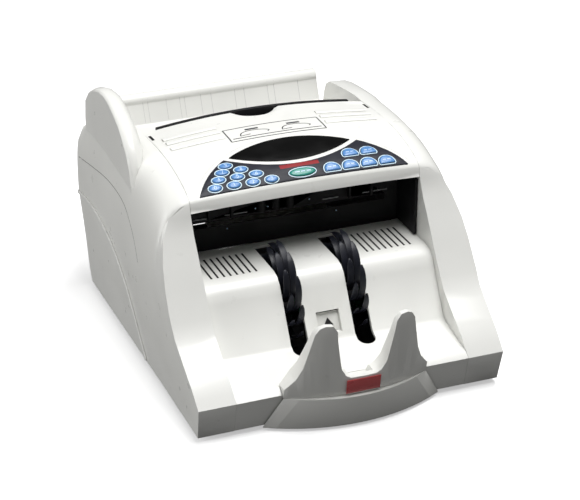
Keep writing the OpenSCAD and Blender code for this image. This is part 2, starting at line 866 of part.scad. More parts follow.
centred() key_cap(1, "steelblue");  // key_digit_1
centred() key_cap(2, "steelblue");  // key_digit_2
centred() key_cap(3, "steelblue");  // key_digit_3
centred() key_cap(4, "steelblue");  // key_digit_4
centred() key_cap(5, "steelblue");  // key_digit_5
centred() key_cap(6, "steelblue");  // key_digit_6
centred() key_cap(7, "steelblue");  // key_digit_7
centred() key_cap(8, "steelblue");  // key_digit_8
centred() key_cap(9, "steelblue");  // key_digit_9
centred() key_cap(10, "seagreen");  // key_restart
centred() key_cap(11, "steelblue");  // key_function_1
centred() key_cap(12, "steelblue");  // key_function_2
centred() key_cap(13, "steelblue");  // key_function_3
centred() key_cap(14, "steelblue");  // key_function_4
centred() key_cap(15, "steelblue");  // key_function_5
centred() key_cap(16, "steelblue");  // key_function_6
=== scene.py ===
"""Looks of the banknote counting machine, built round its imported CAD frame. Lengths are in metres."""
import json
import math

import bmesh
import bpy
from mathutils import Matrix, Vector
from mathutils.bvhtree import BVHTree


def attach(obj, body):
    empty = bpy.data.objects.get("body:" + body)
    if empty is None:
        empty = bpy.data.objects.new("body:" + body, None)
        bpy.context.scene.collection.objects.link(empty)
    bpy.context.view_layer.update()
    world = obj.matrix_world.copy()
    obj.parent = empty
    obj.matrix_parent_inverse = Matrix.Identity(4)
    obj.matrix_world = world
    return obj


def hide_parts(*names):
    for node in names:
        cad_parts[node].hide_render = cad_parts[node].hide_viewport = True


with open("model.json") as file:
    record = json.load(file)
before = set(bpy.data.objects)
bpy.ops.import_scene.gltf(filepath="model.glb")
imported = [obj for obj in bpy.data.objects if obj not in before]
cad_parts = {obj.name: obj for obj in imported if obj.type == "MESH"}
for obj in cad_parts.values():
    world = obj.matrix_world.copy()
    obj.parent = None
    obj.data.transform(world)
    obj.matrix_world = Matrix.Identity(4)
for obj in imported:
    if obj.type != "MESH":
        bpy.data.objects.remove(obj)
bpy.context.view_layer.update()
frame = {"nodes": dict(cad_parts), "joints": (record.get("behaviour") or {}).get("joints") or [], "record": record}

MM = 0.001
# The CAD is laid out from the middle of its feet, and its box's middle lies this far behind them
MIDDLE_Y = 8.85
NODES = frame["nodes"]
JOINTS = {joint["name"]: joint for joint in frame["joints"]}

CASE_WHITE = (0.80, 0.80, 0.765)
PALE_LINE = (0.62, 0.80, 0.90)
NAVY = (0.020, 0.021, 0.030)
KEY_BLUE = (0.085, 0.235, 0.52)
KEY_GREEN = (0.022, 0.25, 0.20)
# The badge's red is partly its own colour and partly painted reflection: it is made brighter and pinker to carry
# the light the badge reflects
BADGE_RED_AND_SHEEN = (0.55, 0.07, 0.075)


# ---------------------------------------------------------------- materials

# How strongly the table top glows to the camera
TABLE_GLOW = 0.45


class Finish:
    """A node-based material while it is being wired up."""

    def __init__(self, name):
        self.material = bpy.data.materials.new(name)
        self.material.use_nodes = True
        self.nodes = self.material.node_tree.nodes
        self.links = self.material.node_tree.links
        self.shader = self.nodes["Principled BSDF"]
        self.place = self.nodes.new("ShaderNodeTexCoord").outputs["Object"]

    def put(self, socket, value):
        """Links a socket, or sets a colour or a number."""
        if isinstance(value, bpy.types.NodeSocket):
            self.links.new(value, socket)
        elif isinstance(value, tuple) and len(value) == 3:
            socket.default_value = (*value, 1.0)
        else:
            socket.default_value = value

    def set(self, name, value):
        self.put(self.shader.inputs[name], value)

    def stretched(self, scale):
        """The piece's own coordinates, scaled along each axis."""
        mapping = self.nodes.new("ShaderNodeMapping")
        mapping.inputs["Scale"].default_value = scale
        self.links.new(self.place, mapping.inputs["Vector"])
        return mapping.outputs["Vector"]

    def noise(self, per_metre, detail=2.0, vector=None):
        node = self.nodes.new("ShaderNodeTexNoise")
        node.inputs["Scale"].default_value = per_metre
        node.inputs["Detail"].default_value = detail
        self.links.new(vector or self.place, node.inputs["Vector"])
        return node.outputs["Fac"]

    def spread(self, value, start, end, low, high):
        """Maps start to end onto low to high, and holds it there outside them."""
        node = self.nodes.new("ShaderNodeMapRange")
        self.links.new(value, node.inputs["Value"])
        for name, number in (("From Min", start), ("From Max", end), ("To Min", low), ("To Max", high)):
            node.inputs[name].default_value = number
        return node.outputs["Result"]

    def blend(self, share, first, second):
        node = self.nodes.new("ShaderNodeMix")
        node.data_type = "RGBA"
        self.put(node.inputs[0], share)
        self.put(node.inputs[6], first)
        self.put(node.inputs[7], second)
        return node.outputs[2]

    def edges(self, strength):
        """Share of paler colour on outward edges: wear, and on rubber a painted highlight."""
        pointiness = self.nodes.new("ShaderNodeNewGeometry").outputs["Pointiness"]
        return self.spread(pointiness, 0.51, 0.60, 0.0, strength)

    def crevice_dust_and_shade(self, reach, strength):
        """Share of dust and painted shade where another surface is within reach: the colour darkens in corners and
        crevices.
        """
        node = self.nodes.new("ShaderNodeAmbientOcclusion")
        node.samples = 4
        node.inputs["Distance"].default_value = reach
        return self.spread(node.outputs["AO"], 0.35, 0.95, strength, 0.0)

    def bump(self, height, depth, strength=1.0):
        node = self.nodes.new("ShaderNodeBump")
        node.inputs["Distance"].default_value = depth
        node.inputs["Strength"].default_value = strength
        self.links.new(height, node.inputs["Height"])
        self.links.new(node.outputs["Normal"], self.shader.inputs["Normal"])


def shade(colour, factor):
    return tuple(min(1.0, part * factor) for part in colour)


def moulded(name, colour, rough, grain=1500.0, depth=0.00002, wear=0.10, dust_and_shade=0.30, coat=0.0,
            shine=0.5):
    """Moulded plastic: slow colour drift, a fine spark-eroded grain, paler edges, and corners darkened with dust
    and painted shade.
    """
    finish = Finish(name)
    drift = finish.spread(finish.noise(11.0), 0.35, 0.65, 0.0, 1.0)
    body = finish.blend(drift, shade(colour, 0.965), shade(colour, 1.02))
    worn = finish.blend(finish.edges(wear), body, shade(colour, 1.3))
    # Painted shade and dust: the colour darkens towards 45% where ambient occlusion finds another surface close by
    finish.set("Base Color", finish.blend(finish.crevice_dust_and_shade(0.006, dust_and_shade), worn, shade(colour, 0.45)))
    finish.set("Roughness", finish.spread(finish.noise(70.0, 4.0), 0.3, 0.7, rough - 0.05, rough + 0.06))
    finish.set("Coat Weight", coat)
    finish.set("Specular IOR Level", shine)
    finish.bump(finish.noise(grain, 3.0), depth)
    return finish.material


def metal(name, colour, rough, along, streak=0.00001):
    """Brushed or turned metal, with streaks drawn out along one axis."""
    finish = Finish(name)
    scale = tuple(30.0 if axis == along else 1400.0 for axis in range(3))
    streaks = finish.noise(1.0, 4.0, finish.stretched(scale))
    finish.set("Base Color", finish.blend(finish.edges(0.3), colour, shade(colour, 1.5)))
    finish.set("Metallic", 1.0)
    finish.set("Roughness", finish.spread(streaks, 0.3, 0.7, rough - 0.08, rough + 0.10))
    finish.bump(streaks, streak)
    return finish.material


def painted(name, colour, rough):
    """Powder-coated sheet: a pebbled coat worn through to paler metal at its edges."""
    finish = Finish(name)
    body = finish.blend(finish.noise(25.0), shade(colour, 0.9), shade(colour, 1.12))
    finish.set("Base Color", finish.blend(finish.edges(0.5), body, (0.4, 0.4, 0.4)))
    finish.set("Roughness", finish.spread(finish.noise(300.0), 0.3, 0.7, rough - 0.06, rough + 0.08))
    finish.bump(finish.noise(900.0, 2.0), 0.00005)
    return finish.material


def rubber(name, colour, rough=0.6, shine=0.5):
    """Moulded rubber with a bloom, faint flow lines, and a painted highlight along its edges."""
    finish = Finish(name)
    bloom = finish.spread(finish.noise(45.0, 5.0), 0.4, 0.7, 0.0, 1.0)
    body = finish.blend(bloom, shade(colour, 0.85), shade(colour, 1.35))
    # Painted highlight: outward edges are made three times paler, as where light catches the blades' edges
    finish.set("Base Color", finish.blend(finish.edges(0.4), body, shade(colour, 3.0)))
    finish.set("Roughness", finish.spread(bloom, 0.0, 1.0, rough - 0.08, rough + 0.06))
    finish.set("Specular IOR Level", shine)
    finish.bump(finish.noise(800.0, 4.0), 0.00004)
    return finish.material


def circuit_board(name):
    """Lacquered board: solder resist over a grid of copper tracks."""
    finish = Finish(name)
    brick = finish.nodes.new("ShaderNodeTexBrick")
    brick.inputs["Scale"].default_value = 90.0
    brick.inputs["Mortar Size"].default_value = 0.03
    finish.links.new(finish.place, brick.inputs["Vector"])
    resist = finish.blend(finish.noise(60.0), (0.008, 0.075, 0.03), (0.012, 0.12, 0.05))
    finish.set("Base Color", finish.blend(brick.outputs["Fac"], resist, (0.03, 0.22, 0.09)))
    finish.set("Roughness", finish.spread(finish.noise(120.0), 0.3, 0.7, 0.25, 0.4))
    finish.bump(brick.outputs["Fac"], 0.00003)
    return finish.material


def tinted_window(name):
    """Smoked acrylic with faint smudges."""
    finish = Finish(name)
    smudge = finish.spread(finish.noise(40.0, 6.0), 0.45, 0.75, 0.0, 1.0)
    finish.set("Base Color", finish.blend(smudge, (0.003, 0.003, 0.003), (0.006, 0.006, 0.006)))
    finish.set("Roughness", finish.spread(smudge, 0.0, 1.0, 0.30, 0.42))
    finish.set("Specular IOR Level", 0.06)
    finish.bump(finish.noise(30.0), 0.00002)
    return finish.material


def marked_plate(name, plane_point, plane_normal):
    """White moulding whose raised mark, above a plane, is black."""
    finish = Finish(name)
    height = finish.nodes.new("ShaderNodeVectorMath")
    height.operation = "DOT_PRODUCT"
    finish.links.new(finish.place, height.inputs[0])
    height.inputs[1].default_value = plane_normal
    level = plane_point.dot(plane_normal)
    share = finish.spread(height.outputs["Value"], level + 0.0002, level + 0.0004, 0.0, 1.0)
    finish.set("Base Color", finish.blend(share, shade(CASE_WHITE, 0.9), (0.006, 0.006, 0.007)))
    finish.set("Roughness", finish.spread(finish.noise(200.0), 0.3, 0.7, 0.35, 0.5))
    finish.bump(finish.noise(1500.0, 3.0), 0.00002)
    return finish.material


def table_top(name):
    """Pale table that shows bright but throws little light back up at the object."""
    finish = Finish(name)
    is_seen = finish.nodes.new("ShaderNodeLightPath").outputs["Is Camera Ray"]
    paper = finish.blend(finish.noise(6.0), (0.88, 0.88, 0.88), (0.93, 0.93, 0.93))
    finish.set("Base Color", finish.blend(is_seen, (0.16, 0.16, 0.16), paper))
    finish.set("Roughness", 0.8)
    finish.set("Specular IOR Level", 0.05)
    finish.set("Emission Color", (1.0, 1.0, 1.0))
    finish.set("Emission Strength", finish.spread(is_seen, 0.0, 1.0, 0.0, TABLE_GLOW))
    finish.bump(finish.noise(300.0), 0.00002)
    return finish.material


FINISHES = {
    "case_white": moulded("case_white", CASE_WHITE, 0.32, coat=0.10, shine=0.35),
    "black_plastic": moulded("black_plastic", (0.006, 0.006, 0.007), 0.50, 1100.0, 0.00004, 0.25, 0.5,
                             shine=0.25),
    "overlay_navy": moulded("overlay_navy", NAVY, 0.42, 2400.0, 0.00001, 0.05, 0.4, shine=0.18),
    "window_black": tinted_window("window_black"),
    "vane_rubber": rubber("vane_rubber", (0.010, 0.011, 0.017), 0.46, 0.3),
    "black_rubber": rubber("black_rubber", (0.016, 0.016, 0.016)),
    "grey_plastic": moulded("grey_plastic", (0.34, 0.34, 0.35), 0.45),
    "sheet_steel": painted("sheet_steel", (0.09, 0.09, 0.10), 0.45),
    "bright_steel": metal("bright_steel", (0.60, 0.60, 0.61), 0.28, 0),
    "board_green": circuit_board("board_green"),
    "supply_steel": metal("supply_steel", (0.50, 0.48, 0.44), 0.38, 1),
    "badge_red": moulded("badge_red", BADGE_RED_AND_SHEEN, 0.30, 2000.0, 0.00001, 0.15, 0.2, 0.5),
    "key_blue": moulded("key_blue", KEY_BLUE, 0.32, 2200.0, 0.00001, 0.35, 0.25, 0.15, 0.4),
    "key_green": moulded("key_green", KEY_GREEN, 0.32, 2200.0, 0.00001, 0.35, 0.25, 0.15, 0.4),
    "pale_line": moulded("pale_line", PALE_LINE, 0.45, 2200.0, 0.00001, 0.0, 0.1),
    "ink": moulded("ink", (0.03, 0.03, 0.035), 0.55, 2200.0, 0.00001, 0.0, 0.0),
    "scribed": moulded("scribed", (0.58, 0.58, 0.56), 0.5, 1500.0, 0.00001, 0.0, 0.0),
    "seam": moulded("seam", (0.16, 0.16, 0.155), 0.6, 1500.0, 0.00001, 0.0, 0.0),
    "panel_red": moulded("panel_red", (0.26, 0.010, 0.014), 0.45, 2400.0, 0.00001, 0.1, 0.1,
                         shine=0.2),
    "legend": moulded("legend", (0.50, 0.66, 0.84), 0.4, 2400.0, 0.00001, 0.0, 0.0),
    "floor": table_top("floor"),
}


# ---------------------------------------------------------------- shapes

def smooth_by_angle():
    """Node group that welds a mesh and keeps edges sharper than its limit crisp."""
    group = bpy.data.node_groups.new("smooth_by_angle", "GeometryNodeTree")
    group.interface.new_socket("Geometry", in_out="INPUT", socket_type="NodeSocketGeometry")
    group.interface.new_socket("Geometry", in_out="OUTPUT", socket_type="NodeSocketGeometry")
    make = group.nodes.new
    source = make("NodeGroupInput")
    target = make("NodeGroupOutput")
    faces = make("GeometryNodeSetShadeSmooth")
    creases = make("GeometryNodeSetShadeSmooth")
    creases.domain = "EDGE"
    creases.inputs["Shade Smooth"].default_value = False
    angle = make("GeometryNodeInputMeshEdgeAngle")
    compare = make("FunctionNodeCompare")
    compare.operation = "GREATER_THAN"
    compare.inputs["B"].default_value = math.radians(32)
    link = group.links.new
    link(source.outputs[0], faces.inputs["Geometry"])
    link(faces.outputs["Geometry"], creases.inputs["Geometry"])
    link(angle.outputs["Unsigned Angle"], compare.inputs["A"])
    link(compare.outputs["Result"], creases.inputs["Selection"])
    link(creases.outputs["Geometry"], target.inputs[0])
    return group


SMOOTH = smooth_by_angle()


def round_edges(piece, width, is_cad=False, dissolve=True):
    """Modifiers that join a CAD mesh's faces, round its edges and shade it."""
    if is_cad:
        weld = piece.modifiers.new("weld", "WELD")
        weld.merge_threshold = 1e-6
    if is_cad and dissolve:
        flat = piece.modifiers.new("flat", "DECIMATE")
        flat.decimate_type = "DISSOLVE"
        flat.angle_limit = math.radians(0.6)
    if width > 0:
        bevel = piece.modifiers.new("bevel", "BEVEL")
        bevel.width = width
        bevel.segments = 3
        bevel.limit_method = "ANGLE"
        bevel.angle_limit = math.radians(35)
        bevel.miter_outer = "MITER_ARC"
    shading = piece.modifiers.new("shading", "NODES")
    shading.node_group = SMOOTH


def add_piece(name, bm, finish, body, rounding=0.0):
    """Turns a bmesh into a piece that rides on a body."""
    bmesh.ops.recalc_face_normals(bm, faces=bm.faces)
    mesh = bpy.data.meshes.new(name)
    bm.to_mesh(mesh)
    bm.free()
    mesh.materials.append(FINISHES[finish])
    piece = bpy.data.objects.new(name, mesh)
    bpy.context.scene.collection.objects.link(piece)
    round_edges(piece, rounding)
    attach(piece, body)
    return piece


def loft(bm, rings, is_loop=False):
    """Faces between rings of equal length, closed at both ends unless the rings form a loop."""
    made = [[bm.verts.new(point) for point in ring] for ring in rings]
    count = len(made[0])
    pairs = list(zip(made, made[1:]))
    if is_loop:
        pairs.append((made[-1], made[0]))
    for low, high in pairs:
        for k in range(count):
            n = (k + 1) % count
            bm.faces.new((low[k], low[n], high[n], high[k]))
    if not is_loop:
        bm.faces.new(made[0][::-1])
        bm.faces.new(made[-1])


class Surface:
    """Looks up points on pieces by casting rays at them."""

    def __init__(self, *pieces):
        verts, faces = [], []
        for piece in pieces:
            mesh = piece.data
            base = len(verts)
            verts += [v.co.copy() for v in mesh.vertices]
            faces += [[base + k for k in p.vertices] for p in mesh.polygons]
        self.tree = BVHTree.FromPolygons(verts, faces)

    def at(self, origin, direction):
        point, normal, _, _ = self.tree.ray_cast(Vector(origin), Vector(direction))
        if point is None:
            raise ValueError(f"no surface under {tuple(origin)}")
        if normal.dot(Vector(direction)) > 0:
            normal = -normal
        return point, normal

    def above(self, x, y):
        """The point over a place in the layout, in millimetres."""
        return self.at((x * MM, (y - MIDDLE_Y) * MM, 0.4), (0, 0, -1))

    def beside(self, side, y, z):
        """The point beside a place in the layout, in millimetres; side is -1 for left and 1 for right."""
        return self.at((side * 0.3, (y - MIDDLE_Y) * MM, z * MM), (-side, 0, 0))


def strip(bm, samples, half, height, sink, is_loop=False):
    """A raised or sunk band along samples, which are pairs of point and normal."""
    count = len(samples)
    rings = []
    for k, (point, normal) in enumerate(samples):
        if is_loop:
            ahead, behind = samples[(k + 1) % count][0], samples[k - 1][0]
        else:
            ahead, behind = samples[min(k + 1, count - 1)][0], samples[max(k - 1, 0)][0]
        across = (ahead - behind).cross(normal).normalized()
        rings.append([
            point - across * half - normal * sink,
            point - across * half + normal * height * 0.5,
            point - across * half * 0.6 + normal * height,
            point + across * half * 0.6 + normal * height,
            point + across * half + normal * height * 0.5,
            point + across * half - normal * sink,
        ])
    loft(bm, rings, is_loop)


def walk(corners, pace):
    """Points along straight lines between corners, no further apart than pace."""
    points = [Vector(corners[0])]
    for start, end in zip(corners, corners[1:]):
        start, end = Vector(start), Vector(end)
        count = max(1, math.ceil((end - start).length / pace))
        points += [start.lerp(end, k / count) for k in range(1, count + 1)]
    return points


def soften(corners, rounds=3):
    """Cuts corners off a line until it reads as a curve."""
    points = [Vector(corner) for corner in corners]
    for _ in range(rounds):
        cut = [points[0]]
        for start, end in zip(points, points[1:]):
            cut += [start.lerp(end, 0.25), start.lerp(end, 0.75)]
        points = cut + [points[-1]]
    return points


def box(bm, low, high):
    """A block between two corners of the layout, in millimetres."""
    made = bmesh.ops.create_cube(bm, size=1.0)["verts"]
    for vert in made:
        vert.co = Vector([(low[k] if vert.co[k] < 0 else high[k]) * MM for k in range(3)])
        vert.co.y -= MIDDLE_Y * MM


# ---------------------------------------------------------------- CAD nodes

SLOTS = {row["node"]: row["material_slot"] for row in frame["record"]["subparts"]}
# Rounding of a node's sharp edges, in millimetres
ROUNDING = {
    "side_cover_left": 0.9, "side_cover_right": 0.9, "hood_shell": 0.5, "fork_plate": 1.4,
    "stacker_plate": 0.0, "front_skirt": 0.7, "front_badge": 0.25, "back_plate": 0.8, "rear_cover": 0.5,
    "hopper_fin": 0.0, "keypad_overlay": 0.1, "display_window": 0.1, "throat_plate": 0.6,
    "hopper_floor": 0.4, "guide_wall": 0.3, "gap_knob": 0.6, "rubber_feet": 0.8, "power_supply": 0.8,
    "main_motor": 0.8, "stacker_motor": 0.6, "main_board": 0.15, "display_board": 0.15, "sensor_lens": 0.1,
}
DEFAULT_ROUNDING = 0.25
# Mouldings of many facets, whose faces stay as they are
UNDISSOLVED = ("stacker_plate", "side_cover_left", "side_cover_right")
# The white plate of the note sensor: a place on its face in the layout, and its slope in degrees
SENSOR_PLACE = (0.0, -107.4, 53.7)
SENSOR_SLOPE = 59.8


def finish_nodes():
    """Gives each CAD node its material and its edge rounding."""
    slope = math.radians(SENSOR_SLOPE)
    normal = Vector((0.0, -math.sin(slope), math.cos(slope)))
    x, y, z = SENSOR_PLACE
    FINISHES["sensor"] = marked_plate("sensor", Vector((x, y - MIDDLE_Y, z)) * MM, normal)
    for name, node in NODES.items():
        node.data.materials.clear()
        node.data.materials.append(FINISHES["sensor" if name == "sensor_lens" else SLOTS[name]])
        normals = node.data.attributes.get("custom_normal")
        if normals:
            node.data.attributes.remove(normals)
        width = ROUNDING.get(name, DEFAULT_ROUNDING) * MM
        round_edges(node, width, is_cad=True, dissolve=name not in UNDISSOLVED)


# ---------------------------------------------------------------- keys

# Rings of a domed key: share of its outline, and height over the CAD cap's flat top in millimetres
DOME = ((1.0, -4.5), (1.0, -1.1), (0.98, -0.62), (0.93, -0.28), (0.82, -0.02), (0.6, 0.14), (0.28, 0.2))
# The printed line round a key, in millimetres: how far outside the key, half its width, and its height
RIM_MARGIN = 0.95
RIM_HALF = 0.42
RIM_HEIGHT = 0.14
DIGIT_HALF = 0.28
DASH_HALF = 0.5
# Strokes of the digits 0 to 9 on a grid 2 wide and 4 high, and the size of its squares in millimetres
DIGIT_GRID = (1.05, 0.95)
DIGIT_LINES = (
    ((0, 1), (0, 3), (1, 4), (2, 3), (2, 1), (1, 0), (0, 1)),
    ((0.3, 3.2), (1, 4), (1, 0)),
    ((0, 3.2), (1, 4), (2, 3.2), (0, 0), (2, 0)),
    ((0, 4), (2, 4), (0.9, 2.4), (2, 1.2), (1, 0), (0, 0.5)),
    ((1.5, 0), (1.5, 4), (0, 1.2), (2, 1.2)),
    ((2, 4), (0.2, 4), (0, 2.3), (1.2, 2.5), (2, 1.3), (1.1, 0), (0, 0.4)),
    ((1.7, 4), (0.2, 2), (0, 1), (1, 0), (2, 1), (1, 2.1), (0.1, 1.4)),
    ((0, 4), (2, 4), (0.7, 0)),
    ((1, 2.1), (0.2, 3), (1, 4), (1.8, 3), (1, 2.1), (0, 1), (1, 0), (2, 1), (1, 2.1)),
    ((1.9, 2.6), (1, 1.9), (0, 3), (1, 4), (2, 3), (1.8, 1.8), (0.6, 0)),
)
# Dashes that stand in for words, as [left, right] in millimetres
RESTART_DASHES = ((-7.5, -3.0), (-1.6, 2.2), (3.6, 7.5))
FUNCTION_DASHES = ((-3.8, -0.8), (0.6, 3.8))
FUNCTION_DASH_LEVEL = -1.6


class KeyShape:
    """Outline of a key's flat top, taken from its CAD node, with axes across and up the key."""

    def __init__(self, name):
        self.out = -Vector(JOINTS[name + "_press"]["axis"]).normalized()
        self.across = Vector((1.0, 0.0, 0.0))
        self.up = self.out.cross(self.across).normalized()
        points = [v.co.copy() for v in NODES[name].data.vertices]
        level = max(p.dot(self.out) for p in points)
        unique = {}
        for p in points:
            if level - p.dot(self.out) < 0.02 * MM:
                unique.setdefault((round(p.x, 6), round(p.y, 6)), p)
        top = list(unique.values())
        self.middle = sum(top, Vector()) / len(top)
        self.loop = sorted(top, key=lambda p: math.atan2((p - self.middle).dot(self.up),
                                                         (p - self.middle).dot(self.across)))

    def place(self, u, v):
        return self.middle + self.across * u * MM + self.up * v * MM

    def grown(self, margin):
        """The outline drawn outwards."""
        points = []
        for k, point in enumerate(self.loop):
            along = self.loop[(k + 1) % len(self.loop)] - self.loop[k - 1]
            points.append(point + along.cross(self.out).normalized() * margin * MM)
        return points


def legend_lines(name):
    """Strokes of a key's legend in millimetres: a digit, or plain dashes in place of words."""
    if name.startswith("key_digit_"):
        strokes = DIGIT_LINES[int(name[-1])]
        return [[((x - 1.0) * DIGIT_GRID[0], (y - 2.0) * DIGIT_GRID[1]) for x, y in strokes]]
    if name == "key_restart":
        return [[(left, 0.0), (right, 0.0)] for left, right in RESTART_DASHES]
    return [[(left, FUNCTION_DASH_LEVEL), (right, FUNCTION_DASH_LEVEL)] for left, right in FUNCTION_DASHES]


def build_keys():
    """A domed cap in place of each key's CAD node, its legend, and the lines printed round the keys."""
    overlay = Surface(NODES["keypad_overlay"])
    rims = bmesh.new()
    for name in NODES:
        if not name.startswith("key_"):
            continue
        shape = KeyShape(name)
        bm = bmesh.new()
        loft(bm, [[shape.middle + (p - shape.middle) * share + shape.out * height * MM for p in shape.loop]
                  for share, height in DOME])
        finish = "key_green" if name == "key_restart" else "key_blue"
        cap = add_piece(name + "_cap", bm, finish, name)
        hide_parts(name)

        dome = Surface(cap)
        half = DIGIT_HALF if name.startswith("key_digit_") else DASH_HALF
        bm = bmesh.new()
        for stroke in legend_lines(name):
            samples = [dome.at(shape.place(*p) + shape.out * 0.004, -shape.out) for p in walk(stroke, 0.5)]
            strip(bm, samples, half * MM, 0.06 * MM, 0.1 * MM)
        add_piece(name + "_legend", bm, "legend", name)

        samples = [overlay.at(p + shape.out * 0.01, -shape.out) for p in shape.grown(RIM_MARGIN)]
        strip(rims, samples, RIM_HALF * MM, RIM_HEIGHT * MM, 0.05 * MM, is_loop=True)
    add_piece("key_rims", rims, "pale_line", "hood")


# ---------------------------------------------------------------- stacker blades

BLADE_COUNT = 12
# How far a blade curls round the axle from root to tip, and where the first one starts, in degrees
BLADE_SWEEP = 70.0
BLADE_START = 85.0
BLADE_ROOT_R = 15.3
BLADE_TIP_R = 50.5
BLADE_HALF_T = 0.9
BLADE_ROUNDING = 0.22
# Over 1 for a blade that gains most of its radius near the root
BLADE_FULLNESS = 1.4
# Share of its thickness that a blade loses towards its tip
BLADE_TAPER = 0.3
# The rounded tip: where it begins as a share of the length, how much width it takes, how late it turns in
TIP_START = 0.72
TIP_CUT = 0.90
TIP_POWER = 2.2
BLADE_STEPS = 14
WHEEL_X = 31.0
# The two halves of a blade: their sides measured from the wheel's middle, and their share of the full curl
BLADE_HALVES = ((-6.5, -0.35, 0.74), (0.35, 6.5, 1.0))


def blade_rings(turn, left, right, reach):
    """Cross-sections of one curved blade from its root to its rounded tip."""
    _, axis_y, axis_z = JOINTS["stacker_spin"]["pos_m"]
    rings = []
    for k in range(BLADE_STEPS + 1):
        t = k / BLADE_STEPS * reach
        near_tip = max(0.0, (k / BLADE_STEPS - TIP_START) / (1.0 - TIP_START))
        width = math.sqrt(1.0 - TIP_CUT * near_tip ** TIP_POWER)
        middle, half = (left + right) / 2, (right - left) / 2 * width
        radius = BLADE_ROOT_R + (BLADE_TIP_R - BLADE_ROOT_R) * (1.0 - (1.0 - t) ** BLADE_FULLNESS)
        thick = BLADE_HALF_T * (1.0 - BLADE_TAPER * t) / radius
        angle = math.radians(turn + BLADE_START - BLADE_SWEEP * t)
        ring = []
        for x, a in ((middle - half, angle - thick), (middle + half, angle - thick),
                     (middle + half, angle + thick), (middle - half, angle + thick)):
            y = axis_y + radius * MM * math.cos(a)
            z = axis_z + radius * MM * math.sin(a)
            ring.append(Vector((x * MM, y, z)))
        rings.append(ring)
    return rings


def build_blades():
    """The blades of both stacker wheels, each split in two, in place of the CAD vanes."""
    bm = bmesh.new()
    for side in (-1, 1):
        for k in range(BLADE_COUNT):
            for left, right, reach in BLADE_HALVES:
                middle = side * WHEEL_X
                loft(bm, blade_rings(k * 360.0 / BLADE_COUNT, middle + left, middle + right, reach))
    blades = add_piece("stacker_blades", bm, "vane_rubber", "stacker_rotor",
                       BLADE_ROUNDING * MM)
    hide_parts("stacker_vanes")


# ---------------------------------------------------------------- printed and moulded lines

# The raised arc behind the panel: its radius, its centre along Y, and its reach to each side in degrees
PANEL_R = 121.0
PANEL_Y = -107.1
PANEL_REACH = 59.0
PANEL_STEPS = 60
# The blank red bar on the panel
RED_BAR_X = (-19.5, 18.0)
RED_BAR_Y = -33.9
# Ridges on each side of the hood, and slots painted there as dark shade, by their distance from its middle
RIDGE_X = (50.0, 101.0)
RIDGES_Y = (29.0, 42.0, 53.0)
SLOT_X = 107.6
SLOT_Y = (60.0, 73.0)
# The printed frame behind the window, how far a line inside it is set in from the sides and the front,
# and two outlines of a note with a stack over each
STICKER_X = 46.5
STICKER_REAR = 43.0
STICKER_FRONT = 17.0
STICKER_LINE = (3.0, 4.6)
NOTES_X = (-20.0, 21.0)
NOTE_OUTLINE = ((-15, 25), (-13, 31), (-4, 34), (8, 32.5), (15, 29), (12, 26.5))
NOTE_FOLD = ((-15, 25), (-5, 26))
STACK_X = (-7.0, 6.0)
STACK_Y = 36.5


def draw_on_hood(name, lines, finish, half, height, surface, body="hood", pace=2.5):
    """Lines laid on a surface from above; each line is a list of places in the layout."""
    bm = bmesh.new()
    for line in lines:
        strip(bm, [surface.above(p[0], p[1]) for p in walk(line, pace)], half * MM, height * MM, 0.12 * MM)
    return add_piece(name, bm, finish, body)


def build_hood_lines():
    """What is moulded and printed on the hood and its panel."""
    hood = Surface(NODES["hood_shell"])
    overlay = Surface(NODES["keypad_overlay"])
    arc = []
    for k in range(PANEL_STEPS + 1):
        a = math.radians(PANEL_REACH * (2 * k / PANEL_STEPS - 1))
        arc.append((PANEL_R * math.sin(a), PANEL_Y + PANEL_R * math.cos(a)))
    draw_on_hood("panel_outline", [arc], "case_white", 0.55, 0.3, hood)
    red_bar = [(x, RED_BAR_Y) for x in RED_BAR_X]
    draw_on_hood("panel_red_bar", [red_bar], "panel_red", 2.3, 0.12, overlay)

    ridges = [[(side * x, y) for x in RIDGE_X] for side in (-1, 1) for y in RIDGES_Y]
    draw_on_hood("hood_ridges", ridges, "case_white", 3.2, 1.5, hood)
    slots = [[(side * SLOT_X, y) for y in SLOT_Y] for side in (-1, 1)]
    # Painted shade: black strips laid on the hood where its slots are
    draw_on_hood("hood_slot_shade", slots, "black_plastic", 1.3, 0.06, hood)

    x, rear, front = STICKER_X, STICKER_REAR, STICKER_FRONT
    inner_x, inner_y = x - STICKER_LINE[0], front + STICKER_LINE[1]
    border = [[(-x, rear), (x, rear)], [(-x, front), (x, front)], [(-x, rear), (-x, front)],
              [(x, rear), (x, front)], [(-inner_x, inner_y), (inner_x, inner_y)]]
    draw_on_hood("sticker_border", border, "ink", 0.62, 0.05, hood)
    notes = []
    for middle in NOTES_X:
        outline = soften([(middle + x, y) for x, y in NOTE_OUTLINE])
        notes.append([(p[0], p[1]) for p in outline])
        notes.append([(middle + x, y) for x, y in NOTE_FOLD])
    draw_on_hood("sticker_notes", notes, "ink", 0.55, 0.05, hood, pace=1.5)
    stacks = [[(middle + x, STACK_Y) for x in STACK_X] for middle in NOTES_X]
    draw_on_hood("sticker_stacks", stacks, "ink", 1.5, 0.05, hood)


# Lines along each side cover, as [y, z] in the layout: a raised arc and the parting seam over it
SIDE_ARC = ((181, 95), (132, 101), (78, 90), (39, 68), (11, 38), (-15, 7))
SIDE_SEAM = ((176, 134), (131, 142), (90, 148), (58, 148.5), (33, 145), (17, 136), (0, 121), (-8, 105))


# Each line's name, path, finish, half width and height in millimetres
SIDE_LINES = (("arc", SIDE_ARC, "case_white", 1.9, 1.7), ("seam", SIDE_SEAM, "seam", 0.35, 0.04))


